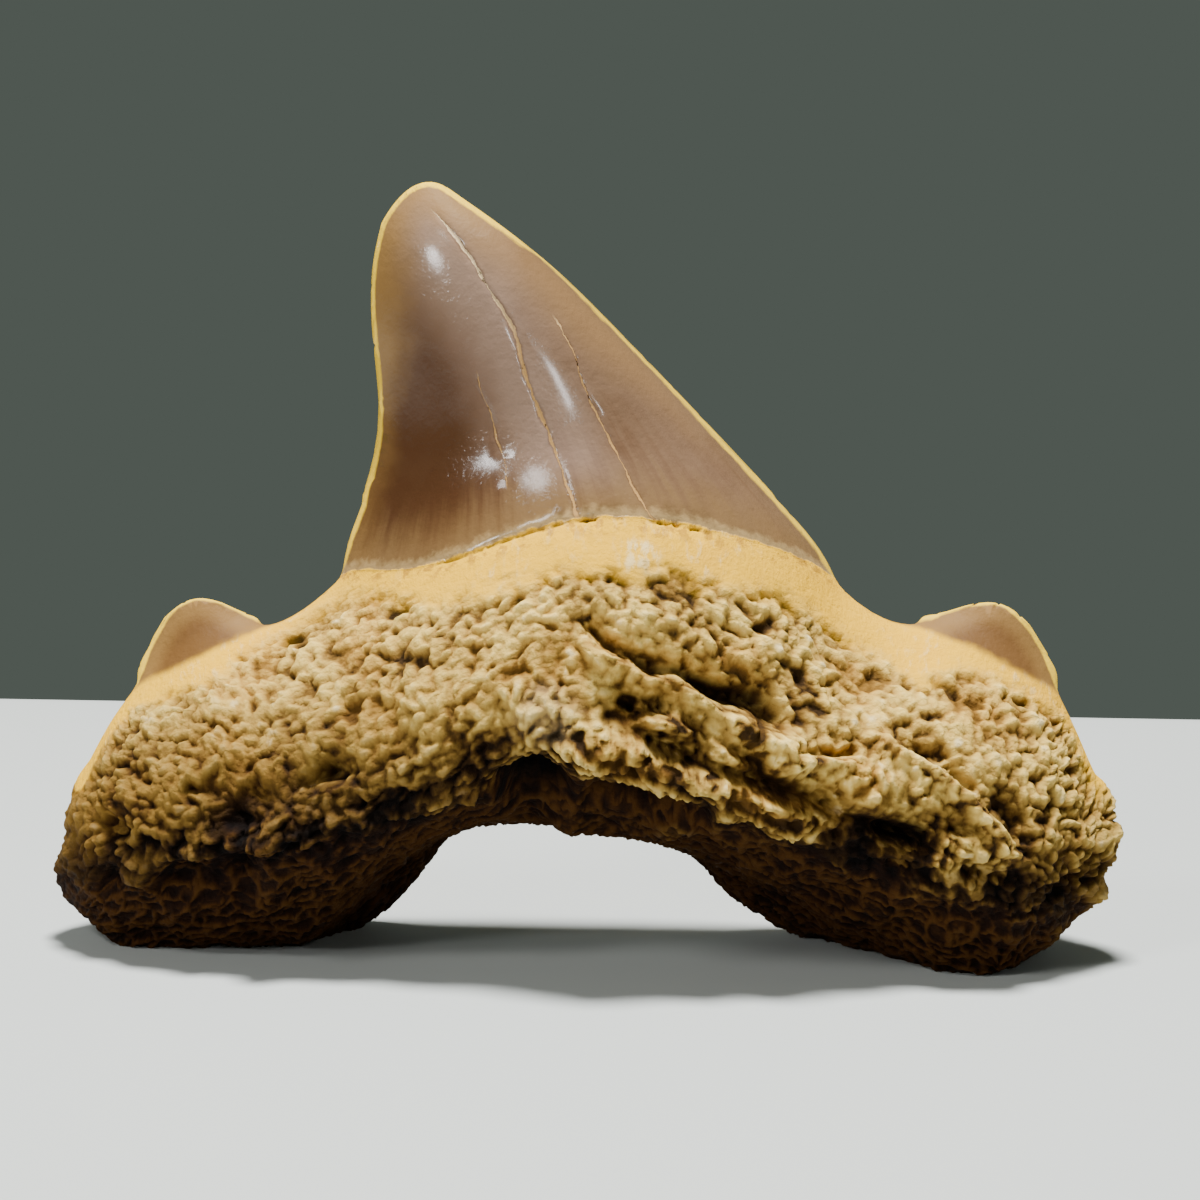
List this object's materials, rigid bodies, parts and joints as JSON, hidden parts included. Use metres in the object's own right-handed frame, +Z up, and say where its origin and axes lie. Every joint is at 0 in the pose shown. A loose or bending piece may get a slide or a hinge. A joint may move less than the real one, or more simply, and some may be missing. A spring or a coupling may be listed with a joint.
{
  "type": "fossil shark tooth",
  "caption": "Fossil shark tooth with a leaning triangular crown, a low side cusplet at each end and a thick arched root with two lobes that it stands on.",
  "frame": {"origin": "middle of the tooth's outer box, on the ground that its two lobes stand on", "axes": "+X along the root towards the lobe that the crown leans away from, +Y from the bulging inner side to the flatter outer side, +Z up through the crown"},
  "size_m": [0.0398, 0.0116, 0.0284],
  "materials": {
    "bone_and_enamel": "rough ochre bone of the root, glossy brown enamel on the crown and the cusplets"
  },
  "bodies": {
    "root": {"tooth": "bone_and_enamel"}
  },
  "joints": []
}
